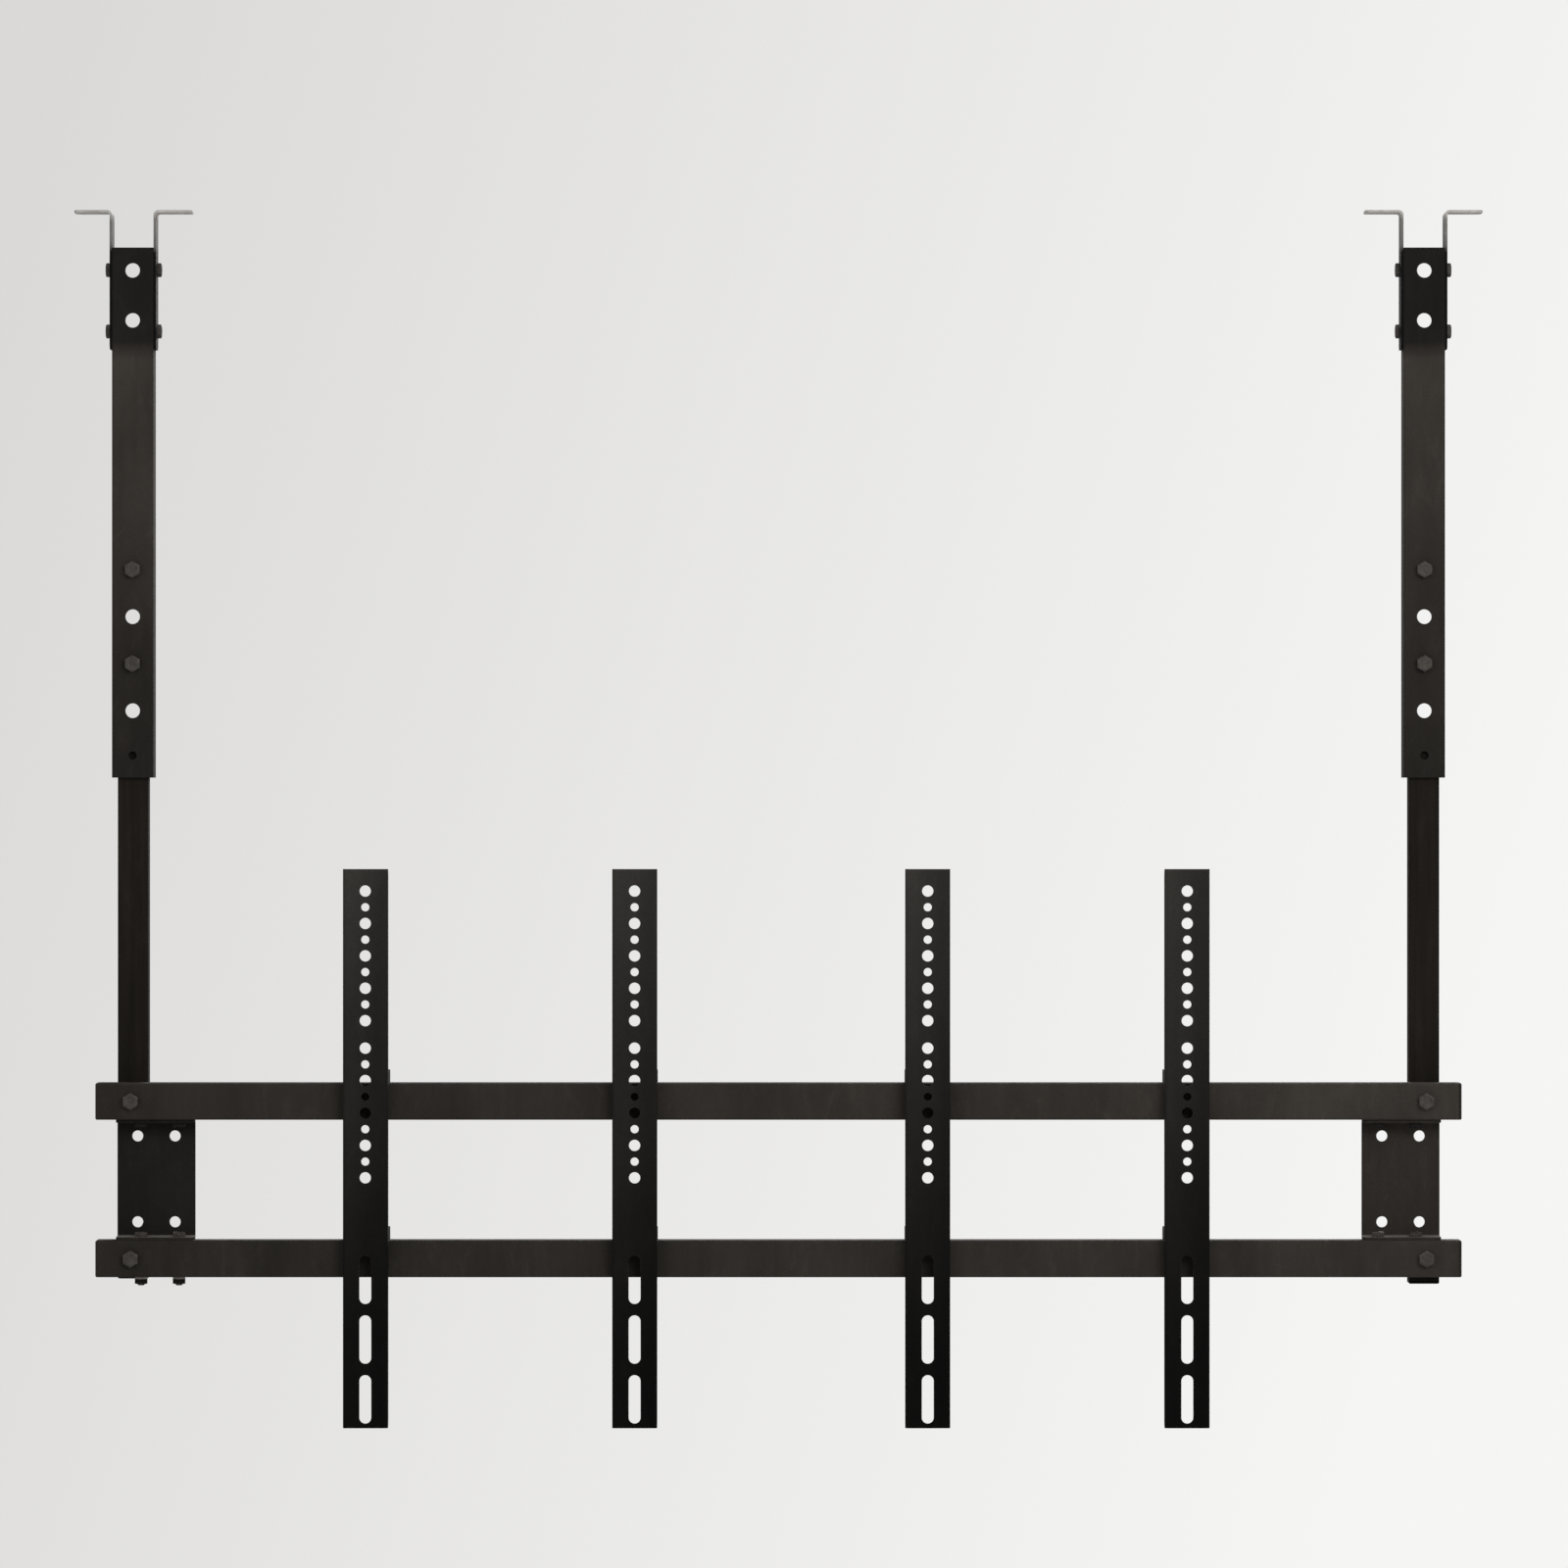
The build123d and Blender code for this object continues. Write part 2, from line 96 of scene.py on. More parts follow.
NUT_BORE = 1.02                 # bore of a nut and its mouth, as shares of the bolt's radius
NUT_MOUTH = 1.12
SHARP_ANGLE = math.radians(24)  # an edge that bends by less is shaded smooth
SAME_POINT = 1e-6               # corners of a CAD mesh that are closer are one corner

# Finishes: greys go from 0 to 255, lengths and heights are in metres
BEVEL_SAMPLES = 6
FLAT_COSINE = 0.99              # between the plain normal and that of rounded edges, on a flat
EDGE_COSINE = 0.80              # and along an edge
COAT_RUBS = 1.6                 # strength of a coat's rub marks, against that of its clouds
COAT_WEAR_WIDTH = 0.0011
COAT_WEAR_LIFT = 2.0            # grey of a worn edge, against that of the coat
# Grey towards which what faces up is paled: partly settled dusting, partly painted light from above
DUST_AND_TOP_LIGHT_GREY = 150
DUST_AND_TOP_LIGHT_THINNEST = 0.55            # share of the thickest dusting and painted top light
ZINC_WARMTH = 0.025
ZINC_WANDER = 0.012             # height through which the edges between the zinc's greys wander
METAL_WARMTH = 0.06
METAL_WEAR_WIDTH = 0.0006
METAL_WEAR_LIFT = 2.6
SCUFF_LIFT = 1.6                # grey of a scuff, against that of the plastic
# Painted light on the uprights: their grey rises from the lower end to the top, as if lit from above
UPRIGHT_PAINTED_LIGHT_GREYS = [
    # share of the upright's length from its lower end, grey, with painted light: paler towards the top,
    # darker towards the bottom
    (0.0, 8),
    (0.16, 11),
    (0.38, 22),
    (0.72, 38),
    (1.0, 49),
]
TUBE_DARK_START = 0.008         # below the brackets' lower ends, where the outer tube starts to darken
TUBE_DARK_FULL = 0.006          # above them, where it is darkest
LEG_SPRAY_FULL = 0.004          # below the tube's top, where a bracket's leg is black with overspray
LEG_SPRAY_END = 0.002           # above the tube's top, where the leg is bare
LEG_TOP = -0.008                # height at which the leg starts to pale towards the foot
FOOT_LOW = -0.003               # height at which it has the grey of the foot
PLATE_SHEET = 0.0025            # thickness of the end plates
FLANGE_FADE = 0.0004            # half the height in which the left plate darkens above its flange, into the painted shade of its web
NUT_BARE_DEPTH = 0.0016         # below the lower rail, where the bare part of a lock nut ends
NUT_PAINTED_SHADOW_DEPTH = 0.0022        # and where its painted shadow, black, starts

# Sockets of a colour mix, which share their names with those of its other kinds
MIX_FACTOR = 0
MIX_FIRST = 6
MIX_SECOND = 7
MIX_RESULT = 2


def linear(tone, warmth=0.0):
    """Linear colour of a grey from 0 to 255, with more red and less blue for a positive warmth."""
    shades = [tone * (1 + warmth), tone, tone * (1 - warmth)]
    channels = [min(shade, 255.0) / 255 for shade in shades]
    return [c / 12.92 if c <= 0.04045 else ((c + 0.055) / 1.055) ** 2.4 for c in channels]


class Tree:
    """A material or world with short ways to add its nodes."""

    def __init__(self, block):
        block.use_nodes = True
        self.block = block
        self.nodes = block.node_tree.nodes
        self.links = block.node_tree.links

    def put(self, socket, value):
        """Joins a socket to another one, or sets its value."""
        if isinstance(value, bpy.types.NodeSocket):
            self.links.new(value, socket)
        else:
            socket.default_value = value

    def add(self, kind, inputs=None, **settings):
        """A new node with its settings and inputs."""
        node = self.nodes.new(kind)
        for name, value in settings.items():
            setattr(node, name, value)
        for name, value in (inputs or {}).items():
            self.put(node.inputs[name], value)
        return node

    def place(self):
        """Where a point lies on the resting part, in metres."""
        return self.add("ShaderNodeTexCoord").outputs["Object"]

    def along(self, vector, axis):
        """One coordinate of a vector."""
        return self.add("ShaderNodeSeparateXYZ", {"Vector": vector}).outputs[axis]

    def stretch(self, place, scale):
        """A place with each coordinate times its own scale."""
        return self.add("ShaderNodeMapping", {"Vector": place, "Scale": scale}).outputs["Vector"]

    def noise(self, place, scale, detail=3.0, roughness=0.55, distortion=0.0):
        """A noise from 0 to 1, mostly near 0.5."""
        inputs = {"Vector": place, "Scale": scale, "Detail": detail, "Roughness": roughness}
        inputs["Distortion"] = distortion
        return self.add("ShaderNodeTexNoise", inputs).outputs["Fac"]

    def remap(self, value, low, high, to_low=0.0, to_high=1.0):
        """A value from low to high as one from to_low to to_high, held there beyond them."""
        inputs = {"Value": value, "From Min": low, "From Max": high, "To Min": to_low, "To Max": to_high}
        return self.add("ShaderNodeMapRange", inputs).outputs["Result"]

    def vary(self, noise, strength):
        """A level about 1 that follows a noise."""
        return self.remap(noise, 0.3, 0.7, 1 - strength, 1 + strength)

    def math(self, operation, first, second):
        """The result of an operation on two numbers."""
        return self.add("ShaderNodeMath", {0: first, 1: second}, operation=operation).outputs["Value"]

    def mix(self, factor, first, second):
        """Mix of two colours, given as three numbers or as sockets."""
        node = self.add("ShaderNodeMix", data_type="RGBA")
        self.put(node.inputs[MIX_FACTOR], factor)
        for index, colour in ((MIX_FIRST, first), (MIX_SECOND, second)):
            if not isinstance(colour, bpy.types.NodeSocket):
                colour = (*colour, 1.0)
            self.put(node.inputs[index], colour)
        return node.outputs[MIX_RESULT]

    def shaded(self, colour, *levels):
        """A colour times each of the levels."""
        level = levels[0]
        for other in levels[1:]:
            level = self.math("MULTIPLY", level, other)
        node = self.add("ShaderNodeVectorMath", {0: colour, "Scale": level}, operation="SCALE")
        return node.outputs["Vector"]

    def by_height(self, place, stops, warmth):
        """A colour that goes through (height, grey) stops, from the lowest up."""
        low = stops[0][0]
        high = stops[-1][0]
        ramp = self.add("ShaderNodeValToRGB", {"Fac": self.remap(self.along(place, "Z"), low, high)})
        marks = ramp.color_ramp.elements
        while len(marks) < len(stops):
            marks.new(0.5)
        for mark, (height, grey) in zip(marks, stops):
            mark.position = (height - low) / (high - low)
            mark.color = (*linear(grey, warmth), 1.0)
        return ramp.outputs["Color"]

    def rounded(self, radius):
        """The normal of a piece with rounded edges."""
        return self.add("ShaderNodeBevel", {"Radius": radius}, samples=BEVEL_SAMPLES).outputs["Normal"]

    def edges(self, radius):
        """1 along the edges of a piece, 0 on its flats."""
        plain = self.add("ShaderNodeNewGeometry").outputs["Normal"]
        inputs = {0: self.rounded(radius), 1: plain}
        across = self.add("ShaderNodeVectorMath", inputs, operation="DOT_PRODUCT")
        return self.remap(across.outputs["Value"], FLAT_COSINE, EDGE_COSINE)

    def relief(self, height, strength, distance, edge_radius):
        """A normal with fine relief and slightly rounded edges."""
        inputs = {"Height": height, "Strength": strength, "Distance": distance}
        inputs["Normal"] = self.rounded(edge_radius)
        return self.add("ShaderNodeBump", inputs).outputs["Normal"]

    def principled(self, **inputs):
        """Sets the sockets of the material's own shader, with _ for a space in their names."""
        shader = self.nodes["Principled BSDF"]
        for name, value in inputs.items():
            self.put(shader.inputs[name.replace("_", " ")], value)

    def show(self, output, factor, first, second):
        """Shows a mix of two shaders."""
        node = self.add("ShaderNodeMixShader", {0: factor, 1: first, 2: second})
        self.put(self.nodes[output].inputs["Surface"], node.outputs["Shader"])


def new_tree(name):
    """The tree of a new material."""
    return Tree(bpy.data.materials.new(name))


def powder_coat(name, stops, gloss, warmth=0.085, mottle=0.2, drawing=0.05, dust_and_top_light=0.0, side_light=0.0):
    """Black powder coat: cloudy tone, drawn rub marks, fine grain and worn edges.

    stops are (height, grey) pairs from the lowest up. mottle and drawing are the strength of the clouds
    and of the upright lines. The upward strength pales what faces up, partly as dusting and partly as
    painted light from above, and the side-light strength paints light on one side: the left of a piece
    is lighter, or the right where it is negative.
    """
    tree = new_tree(name)
    place = tree.place()
    drawn = tree.stretch(place, (1.0, 1.0, 0.4))
    lines = tree.stretch(place, (1.0, 1.0, 0.04))
    clouds = tree.noise(drawn, scale=17.0, detail=4.0)
    rubs = tree.noise(drawn, scale=70.0, detail=6.0, roughness=0.68, distortion=0.9)
    streaks = tree.noise(lines, scale=160.0)
    specks = tree.noise(place, scale=640.0, roughness=0.7)
    grain = tree.noise(place, scale=2300.0, detail=2.0)
    levels = [
        tree.remap(clouds, 0.34, 0.68, 1 - mottle, 1 + mottle),
        tree.remap(rubs, 0.54, 0.78, 1.0, 1 + COAT_RUBS * mottle),
        tree.vary(streaks, drawing),
        tree.remap(specks, 0.3, 0.75, 0.92, 1.14),
        tree.vary(grain, 0.1),
    ]
    # Painted light: one side of the piece made lighter, as if lit from that side
    if side_light:
        whole = tree.add("ShaderNodeTexCoord").outputs["Generated"]
        levels.append(tree.remap(tree.along(whole, "X"), 0.15, 0.85, 1 + side_light, 1 - side_light))
    colour = tree.shaded(tree.by_height(place, stops, warmth), *levels)
    # Paler where a face points up: partly dusting, partly painted light from above
    if dust_and_top_light:
        facing = tree.add("ShaderNodeNewGeometry").outputs["Normal"]
        upward = tree.remap(tree.along(facing, "Z"), 0.5, 0.95)
        settled_and_lit = tree.math("MULTIPLY", upward, tree.remap(rubs, 0.3, 0.6, DUST_AND_TOP_LIGHT_THINNEST * dust_and_top_light, dust_and_top_light))
        colour = tree.mix(settled_and_lit, colour, linear(DUST_AND_TOP_LIGHT_GREY, warmth / 2))
    worn = tree.math("MULTIPLY", tree.edges(COAT_WEAR_WIDTH), tree.remap(specks, 0.44, 0.66, 0.0, 0.4))
    top_grey = stops[-1][1]
    tree.principled(
        Base_Color=tree.mix(worn, colour, linear(COAT_WEAR_LIFT * top_grey, warmth)),
        Roughness=tree.remap(rubs, 0.35, 0.75, 0.84, 0.68),
        Specular_IOR_Level=gloss,
        Normal=tree.relief(grain, strength=0.16, distance=0.0003, edge_radius=0.0006),
    )
    return tree.block


def zinc_sheet(name, stops):
    """Dull zinc-plated sheet with dirt, whose (height, grey) stops meet along wandering lines."""
    tree = new_tree(name)
    place = tree.place()
    spangle = tree.noise(place, scale=130.0, detail=5.0, roughness=0.6, distortion=0.5)
    brushing = tree.noise(tree.stretch(place, (40.0, 900.0, 40.0)), scale=1.0)
    dirt = tree.noise(place, scale=46.0, detail=5.0, roughness=0.66)
    grain = tree.noise(place, scale=2600.0, detail=2.0)
    wander = tree.shaded((0.0, 0.0, ZINC_WANDER), tree.math("SUBTRACT", dirt, 0.5))
    moved = tree.add("ShaderNodeVectorMath", {0: place, 1: wander}, operation="ADD").outputs["Vector"]
    levels = [
        tree.remap(spangle, 0.35, 0.68, 0.9, 1.12),
        tree.vary(brushing, 0.08),
        tree.remap(dirt, 0.5, 0.74, 1.0, 0.72),
        tree.vary(grain, 0.06),
    ]
    tree.principled(
        Base_Color=tree.shaded(tree.by_height(moved, stops, ZINC_WARMTH), *levels),
        Metallic=0.1,
        Roughness=tree.remap(spangle, 0.3, 0.7, 0.74, 0.6),
        Specular_IOR_Level=0.06,
        Normal=tree.relief(spangle, strength=0.08, distance=0.0004, edge_radius=0.0005),
    )
    return tree.block


def dark_metal(name, stops):
    """Blackened steel of bolts and nuts, rubbed brighter on the edges, through (height, grey) stops."""
    tree = new_tree(name)
    place = tree.place()
    stains = tree.noise(place, scale=260.0, detail=5.0, roughness=0.62, distortion=0.6)
    grain = tree.noise(place, scale=3200.0, detail=2.0)
    worn = tree.math("MULTIPLY", tree.edges(METAL_WEAR_WIDTH), tree.remap(stains, 0.35, 0.6, 0.2, 0.7))
    levels = [
        tree.remap(stains, 0.34, 0.7, 0.72, 1.3),
        tree.vary(grain, 0.08),
        tree.remap(worn, 0.0, 1.0, 1.0, METAL_WEAR_LIFT),
    ]
    tree.principled(
        Base_Color=tree.shaded(tree.by_height(place, stops, METAL_WARMTH), *levels),
        Metallic=0.4,
        Roughness=tree.remap(stains, 0.3, 0.72, 0.38, 0.54),
        Specular_IOR_Level=0.15,
        Normal=tree.relief(grain, strength=0.1, distance=0.0002, edge_radius=0.0003),
    )
    return tree.block


def moulded_plastic(name, tone, warmth):
    """Dark matt moulding with a fine spark-eroded grain and a few scuffs."""
    tree = new_tree(name)
    place = tree.place()
    grain = tree.noise(place, scale=1700.0, detail=4.0, roughness=0.6)
    scuffs = tree.noise(tree.stretch(place, (60.0, 220.0, 220.0)), scale=1.0, detail=5.0, roughness=0.7)
    scuffed = tree.remap(scuffs, 0.55, 0.78, 0.0, 0.45)
    colour = tree.mix(scuffed, linear(tone, warmth), linear(SCUFF_LIFT * tone, warmth))
    tree.principled(
        Base_Color=tree.shaded(colour, tree.vary(grain, 0.12)),
        Roughness=tree.remap(grain, 0.3, 0.7, 0.52, 0.66),
        Specular_IOR_Level=0.03,
        Normal=tree.relief(grain, strength=0.25, distance=0.0003, edge_radius=0.0005),
    )
    return tree.block


def floor_paint(name):
    """Pale matt paint that fades out far from the mount and is clear when seen from beneath."""
    tree = new_tree(name)
    place = tree.place()
    mottle = tree.noise(place, scale=3.0, detail=4.0)
    tree.principled(
        Base_Color=tree.shaded((FLOOR_GREY,) * 3, tree.vary(mottle, 0.015)),
        Roughness=tree.remap(mottle, 0.3, 0.7, 0.75, 0.85),
    )
    flat_place = tree.stretch(place, (1.0, 1.0, 0.0))
    distance = tree.add("ShaderNodeVectorMath", {0: flat_place}, operation="LENGTH").outputs["Value"]
    fading = tree.remap(distance, FLOOR_FADE_START, FLOOR_FADE_END)
    beneath = tree.add("ShaderNodeNewGeometry").outputs["Backfacing"]
    painted = tree.nodes["Principled BSDF"].outputs["BSDF"]
    clear = tree.add("ShaderNodeBsdfTransparent").outputs["BSDF"]
    tree.show("Material Output", tree.math("MAXIMUM", fading, beneath), painted, clear)
    return tree.block


def studio_world(name):
    """A pale backdrop, paler to the right and downwards, and plain room light."""
    tree = Tree(bpy.data.worlds.new(name))
    heading = tree.add("ShaderNodeTexCoord").outputs["Generated"]
    across = tree.remap(tree.along(heading, "X"), -VIEW_HALF_WIDTH, VIEW_HALF_WIDTH)
    down = tree.remap(tree.along(heading, "Z"), VIEW_HALF_WIDTH, -VIEW_HALF_WIDTH, 0.0, BACKDROP_FALL)
    paler = tree.remap(tree.math("ADD", across, down), BACKDROP_START, BACKDROP_STOP)
    left_colour = linear(BACKDROP_LEFT_GREY, BACKDROP_LEFT_WARMTH)
    right_colour = linear(BACKDROP_RIGHT_GREY, BACKDROP_RIGHT_WARMTH)
    backdrop = tree.mix(paler, left_colour, right_colour)
    ray = tree.add("ShaderNodeLightPath").outputs
    seen = tree.math("MAXIMUM", ray["Is Camera Ray"], ray["Is Glossy Ray"])
    seen = tree.math("MAXIMUM", seen, ray["Is Transmission Ray"])
    room = tree.nodes["Background"]
    tree.put(room.inputs["Color"], (1.0, 1.0, 1.0, 1.0))
    tree.put(room.inputs["Strength"], ROOM_LIGHT)
    shown = tree.add("ShaderNodeBackground", {"Color": backdrop, "Strength": 1.0})
    tree.show("World Output", seen, room.outputs["Background"], shown.outputs["Background"])
    return tree.block


def turns(count):
    """The angles of points spread evenly round a circle."""
    return [2 * math.pi * i / count for i in range(count)]


def polar(reach, turn, height):
    """A point at a distance from the local Z axis."""
    return Vector((reach * math.cos(turn), reach * math.sin(turn), height))


def circle(radius, height):
    """A ring of points round the local Z axis."""
    return [polar(radius, turn, height) for turn in turns(RING_POINTS)]


def hexagon(across, height, chamfer_from=None):
    """A hexagonal ring with a corner on the local X axis.

    With chamfer_from, each point drops from the height by the cone of a bolt head's chamfer, or rises
    where chamfer_from is negative.
    """
    ring = []
    for turn in turns(RING_POINTS):
        from_flat = (turn % (2 * math.pi / HEX_SIDES)) - math.pi / HEX_SIDES
        reach = across / 2 / math.cos(from_flat)
        drop = 0.0
        if chamfer_from:
            drop = math.copysign((reach - abs(chamfer_from)) * CHAMFER_SLOPE, chamfer_from)
        ring.append(polar(reach, turn, height - drop))
    return ring


def thread(radius, pitch, top, bottom):
    """Rings of a helical thread on a shank, from the top down."""
    count = max(2, round((top - bottom) / pitch * THREAD_STEPS))
    rings = []
    for step in range(count + 1):
        height = top + (bottom - top) * step / count
        run_out = min(1.0, (count - step) / THREAD_STEPS, step / THREAD_STEPS)
        ring = []
        for i, turn in enumerate(turns(RING_POINTS)):
            phase = (height / pitch - i / RING_POINTS) % 1.0
            depth = THREAD_DEPTH * pitch * (1 - abs(2 * phase - 1)) * run_out
            ring.append(polar(radius - depth, turn, height))
        rings.append(ring)
    return rings


def bolt_rings(size, across, length):
    """Rings of a hexagon bolt with its seat at height 0, its head above and its shank below."""
    chamfer = across * CHAMFER_CIRCLE / 2
    head = size["head"]
    washer_face = across / 2 * WASHER_FACE_WIDTH
    radius = size["radius"]
    threaded = min(size["threaded"], length * MOST_THREADED)
    tip = size["pitch"] * TIP_LENGTH
    rings = [
        circle(chamfer * DISH_FLOOR, head - DISH_DEPTH),
        circle(chamfer * DISH_RIM, head),
        circle(chamfer, head),
        hexagon(across, head, chamfer),
        hexagon(across, WASHER_FACE_HEIGHT),
        circle(washer_face, WASHER_FACE_HEIGHT),
        circle(washer_face, 0.0),
        circle(radius, 0.0),
        circle(radius, threaded - length),
    ]
    rings += thread(radius, size["pitch"], threaded - length, tip - length)[1:]
    rings.append(circle(radius * TIP_RADIUS, -length))
    return rings


def nut_rings(size, across, height):
    """Rings of a nut that stands on height 0, closed through its bore."""
    chamfer = across * CHAMFER_CIRCLE / 2
    bore = size["radius"] * NUT_BORE
    mouth = size["radius"] * NUT_MOUTH
    return [
        circle(bore, mouth - bore),
        circle(mouth, 0.0),
        circle(chamfer, 0.0),
        hexagon(across, 0.0, -chamfer),
        hexagon(across, height, chamfer),
        circle(chamfer, height),
        circle(mouth, height),
        circle(bore, height - (mouth - bore)),
    ]


def skin(shape, rings, turned, looped=False):
    """Adds a skin over rings of points, closed at both ends or looped back to the first ring."""
    rows = [[shape.verts.new(turned @ point) for point in ring] for ring in rings]
    pairs = list(zip(rows, rows[1:]))
    if looped:
        pairs.append((rows[-1], rows[0]))
    for upper, lower in pairs:
        for i in range(RING_POINTS):
            j = (i + 1) % RING_POINTS
            shape.faces.new((upper[i], lower[i], lower[j], upper[j]))
    if not looped:
        shape.faces.new(rows[0])
        shape.faces.new(reversed(rows[-1]))


def solids(node):
    """Lowest and highest corner of each separate solid of a CAD node."""
    shape = bmesh.new()
    shape.from_mesh(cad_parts[node].data)
    bmesh.ops.remove_doubles(shape, verts=shape.verts, dist=SAME_POINT)
    waiting = set(shape.verts)
    found = []
    while waiting:
        front = [waiting.pop()]
        island = []
        while front:
            vertex = front.pop()
            island.append(vertex.co.copy())
            for edge in vertex.link_edges:
                other = edge.other_vert(vertex)
                if other in waiting:
                    waiting.remove(other)
                    front.append(other)
        found.append((Vector(map(min, *island)), Vector(map(max, *island))))
    shape.free()
    return sorted(found, key=lambda box: tuple(box[0]))


def seated(place, axis):
    """Turns local Z to the axis and local X to a corner of the hexagon, then moves to the place."""
    corner = Vector((0, 1, 0)) if axis.z else Vector((0, 0, 1))
    side = axis.cross(corner)
    turn = Matrix((corner, side, axis)).transposed().to_4x4()
    return Matrix.Translation(place) @ turn


def add_object(name, shape, material):
    """Turns a bmesh into an object of the scene."""
    mesh = bpy.data.meshes.new(name)
    shape.to_mesh(mesh)
    shape.free()
    mesh.materials.append(material)
    thing = bpy.data.objects.new(name, mesh)
    bpy.context.scene.collection.objects.link(thing)
    return thing


def fastener(node, axis, body, kind, material):
    """Detailed bolts or nuts in place of a CAD node.

    The axis points from their seat to the head, or to a nut's free end.
    """
    axis = Vector(axis)
    shape = bmesh.new()
    for low, high in solids(node):
        middle = (low + high) / 2
        span = high - low
        along = abs(span.dot(axis))
        across = min(s for s, a in zip(span, axis) if not a)
        size = M8 if across > LARGE_HEX else M6
        if kind == "bolt":
            seat = middle + axis * (along / 2 - size["head"])
            skin(shape, bolt_rings(size, across, along - size["head"]), seated(seat, axis))
        else:
            foot = middle - axis * along / 2
            skin(shape, nut_rings(size, across, along), seated(foot, axis), looped=True)
    bmesh.ops.recalc_face_normals(shape, faces=shape.faces)
    for face in shape.faces:
        face.smooth = True
    for edge in shape.edges:
        edge.smooth = edge.calc_face_angle(0.0) < SHARP_ANGLE
    piece = add_object(node + "_detail", shape, material)
    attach(piece, body)
    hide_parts(node)


def round_floor(name, material):
    """A flat round floor, divided into rings."""
    shape = bmesh.new()
    rings = []
    for step in range(1, FLOOR_RINGS + 1):
        reach = FLOOR_RADIUS * step / FLOOR_RINGS
        rings.append([shape.verts.new(polar(reach, turn, FLOOR_HEIGHT)) for turn in turns(FLOOR_SIDES)])
    shape.faces.new(rings[0])
    for inner, outer in zip(rings, rings[1:]):
        for i in range(FLOOR_SIDES):
            j = (i + 1) % FLOOR_SIDES
            shape.faces.new((inner[i], outer[i], outer[j], inner[j]))
    return add_object(name, shape, material)


def add_lamp(name, place, aim, width, height, power):
    """An area lamp that the camera doesn't see."""
    data = bpy.data.lights.new(name, "AREA")
    data.shape = "RECTANGLE"
    data.size = width
    data.size_y = height
    data.energy = power
    lamp = bpy.data.objects.new(name, data)
    lamp.location = place
    lamp.rotation_euler = (Vector(aim) - Vector(place)).to_track_quat("-Z", "Y").to_euler()
    lamp.visible_camera = False
    bpy.context.scene.collection.objects.link(lamp)


def coat(material, *nodes):
    """Gives CAD nodes a material."""
    for node in nodes:
        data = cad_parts[node].data
        data.materials.clear()
        data.materials.append(material)


def sided(*names):
    """The names of the left and the right one of each piece."""
    return [side + "_" + name for name in names for side in ("left", "right")]


# Heights that the finishes follow
outer_low, outer_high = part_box("left_outer_tube")
inner_low, inner_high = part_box("right_inner_tube")
upright_low, upright_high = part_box("left_outer_upright")
tube_middle = (outer_low.z + outer_high.z) / 2
tube_top = outer_high.z
leg_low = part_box("left_outer_bracket")[0].z
rail_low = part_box("lower_rail")[0].z
rail_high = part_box("upper_rail")[1].z
flange_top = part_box("left_end_plate")[0].z + PLATE_SHEET
upright_length = upright_high.z - upright_low.z

# Materials
outer_coat = powder_coat(
    "outer_tube_coat",
    [
        (outer_low.z, 32),
        (tube_middle, 46),
        (leg_low - TUBE_DARK_START, 52),
        (leg_low + TUBE_DARK_FULL, 27),
    ],
    gloss=0.08,
)
inner_coat = powder_coat(
    "inner_tube_coat",
    [(inner_low.z, 25), (inner_high.z, 31)],
    gloss=0.05,
    warmth=0.13,
    mottle=0.16,
    drawing=0.25,
)
# The rails carry painted light: lighter towards the right, where the key lamp stands
rail_coat = powder_coat("rail_coat", [(rail_low, 43), (rail_high, 47)], gloss=0.08, side_light=-0.2)
# Uprights: painted light, paler towards the top and lighter on the left side of each one
upright_coat = powder_coat(
    "upright_coat",
    [(upright_low.z + share * upright_length, grey) for share, grey in UPRIGHT_PAINTED_LIGHT_GREYS],
    gloss=0.05,
    warmth=0.05,
    mottle=0.14,
    side_light=0.2,
)
# Painted shade: the left plate is a darker copy of the plate coat above its flange, as less light falls
# on the left
left_plate_shaded_coat = powder_coat(
    "left_plate_shaded_coat",
    [(flange_top - FLANGE_FADE, 44), (flange_top + FLANGE_FADE, 30)],
    gloss=0.06,
    dust_and_top_light=0.7,
)
# Painted light: the right plate is the lit copy of the same coat
right_plate_lit_coat = powder_coat(
    "right_plate_lit_coat",
    [(rail_low, 47), (rail_high, 47)],
    gloss=0.06,
    dust_and_top_light=0.7,
)
zinc = zinc_sheet(
    "zinc_sheet",
    [
        (tube_top - LEG_SPRAY_FULL, 14),
        (tube_top + LEG_SPRAY_END, 108),
        (LEG_TOP, 122),
        (FOOT_LOW, 178),
    ],
)
bolt_metal = dark_metal("bolt_metal", [(rail_low, 60), (tube_top, 64)])
nut_metal = dark_metal("nut_metal", [(rail_low, 34), (tube_top, 34)])
# Painted shade: a darker copy of the bolt metal, for the bolts in the shade beneath the upper rail
shaded_bolt_metal = dark_metal("shaded_bolt_metal", [(rail_low, 22), (tube_top, 22)])
# Lock nuts under the lower rail: bare metal near the rail, with a black painted shadow on their lower
# part
bare_and_shadowed_nut_metal = dark_metal(
    "bare_and_shadowed_nut_metal",
    [(rail_low - NUT_PAINTED_SHADOW_DEPTH, 9), (rail_low - NUT_BARE_DEPTH, 130)],
)
tube_plug_plastic = moulded_plastic("tube_plug_plastic", tone=4, warmth=0.0)
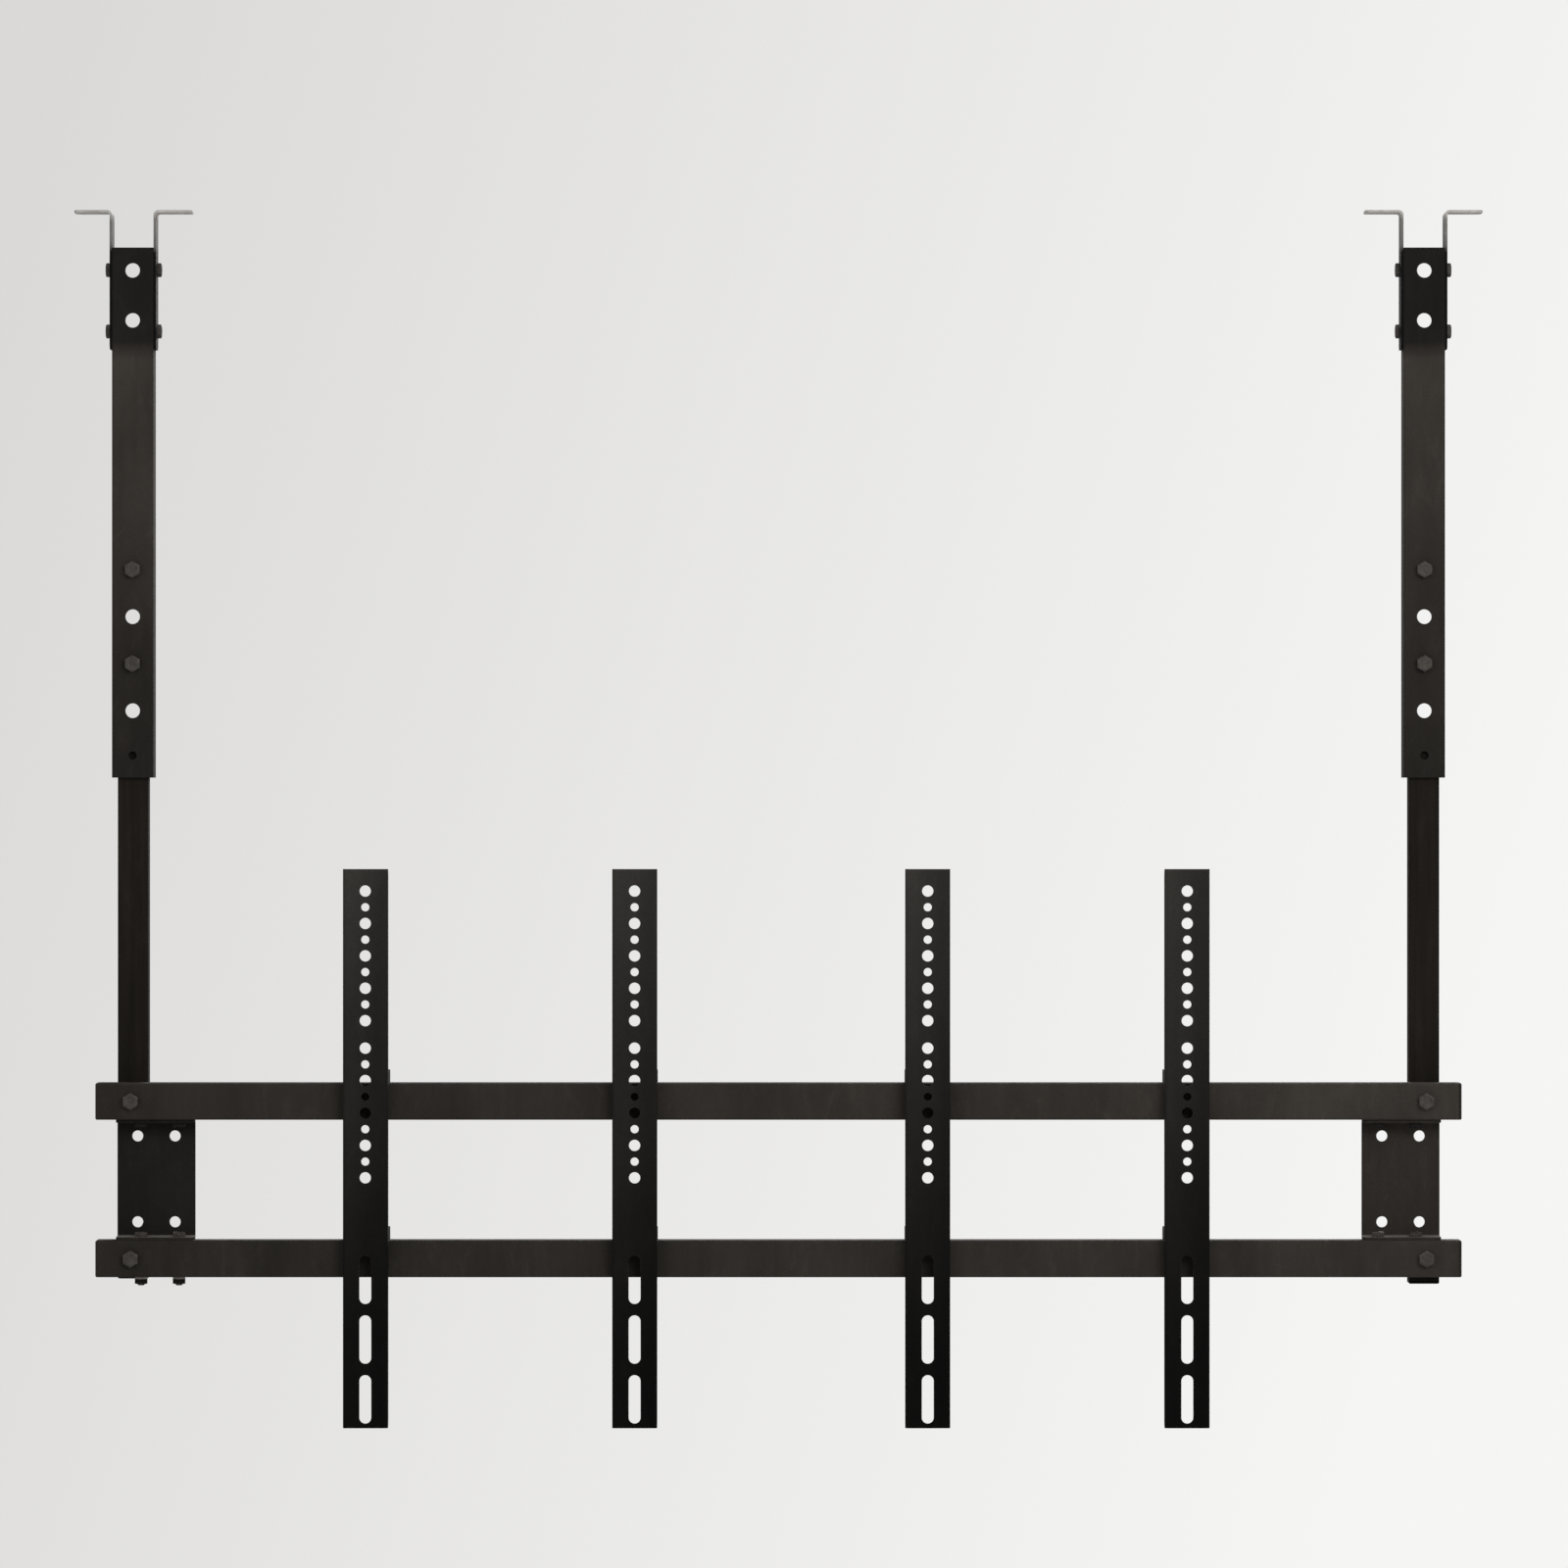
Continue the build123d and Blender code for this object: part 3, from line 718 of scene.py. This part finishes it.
rail_plug_plastic = moulded_plastic("rail_plug_plastic", tone=40, warmth=0.1)

coat(outer_coat, *sided("outer_tube"))
coat(inner_coat, *sided("inner_tube"))
coat(rail_coat, "upper_rail", "lower_rail")
coat(upright_coat, *sided("outer_upright", "inner_upright"))
coat(left_plate_shaded_coat, "left_end_plate")
coat(right_plate_lit_coat, "right_end_plate")
coat(zinc, *sided("outer_bracket", "inner_bracket"))
coat(tube_plug_plastic, *sided("tube_plug"))
for rail in ("upper_rail", "lower_rail"):
    coat(rail_plug_plastic, *[rail + "_" + plug for plug in sided("plug")])
coat(nut_metal, *sided("outer_weld_nuts", "inner_weld_nuts", "plate_upper_nuts"))
coat(nut_metal, "right_plate_lower_nuts")

# Bolts and nuts
for side, outward in (("left", -1), ("right", 1)):
    fastener(side + "_clamp_bolts", FRONT, "drops", "bolt", bolt_metal)
    fastener(side + "_clamp_nuts", BACK, "drops", "nut", nut_metal)
    fastener(side + "_outer_bracket_bolts", (outward, 0, 0), "drops", "bolt", bolt_metal)
    fastener(side + "_inner_bracket_bolts", (-outward, 0, 0), "drops", "bolt", bolt_metal)
    fastener(side + "_rail_bolts", FRONT, "carriage", "bolt", bolt_metal)
    fastener(side + "_rail_nuts", BACK, "carriage", "nut", nut_metal)
    fastener(side + "_plate_upper_bolts", DOWN, "carriage", "bolt", shaded_bolt_metal)
    fastener(side + "_plate_lower_bolts", UP, "carriage", "bolt", bolt_metal)
fastener("left_plate_lower_nuts", DOWN, "carriage", "nut", bare_and_shadowed_nut_metal)

# Studio
floor = round_floor("floor", floor_paint("floor_paint"))
bpy.context.scene.world = studio_world("studio")
for lamp in LAMPS:
    add_lamp(*lamp)

# Camera
camera_data = bpy.data.cameras.new("camera")
camera_data.lens = CAMERA_LENS
camera = bpy.data.objects.new("camera", camera_data)
camera.location = CAMERA_PLACE
camera.rotation_euler = (math.pi / 2, 0.0, 0.0)
bpy.context.scene.collection.objects.link(camera)
bpy.context.scene.camera = camera
bpy.context.scene.view_settings.view_transform = "Standard"
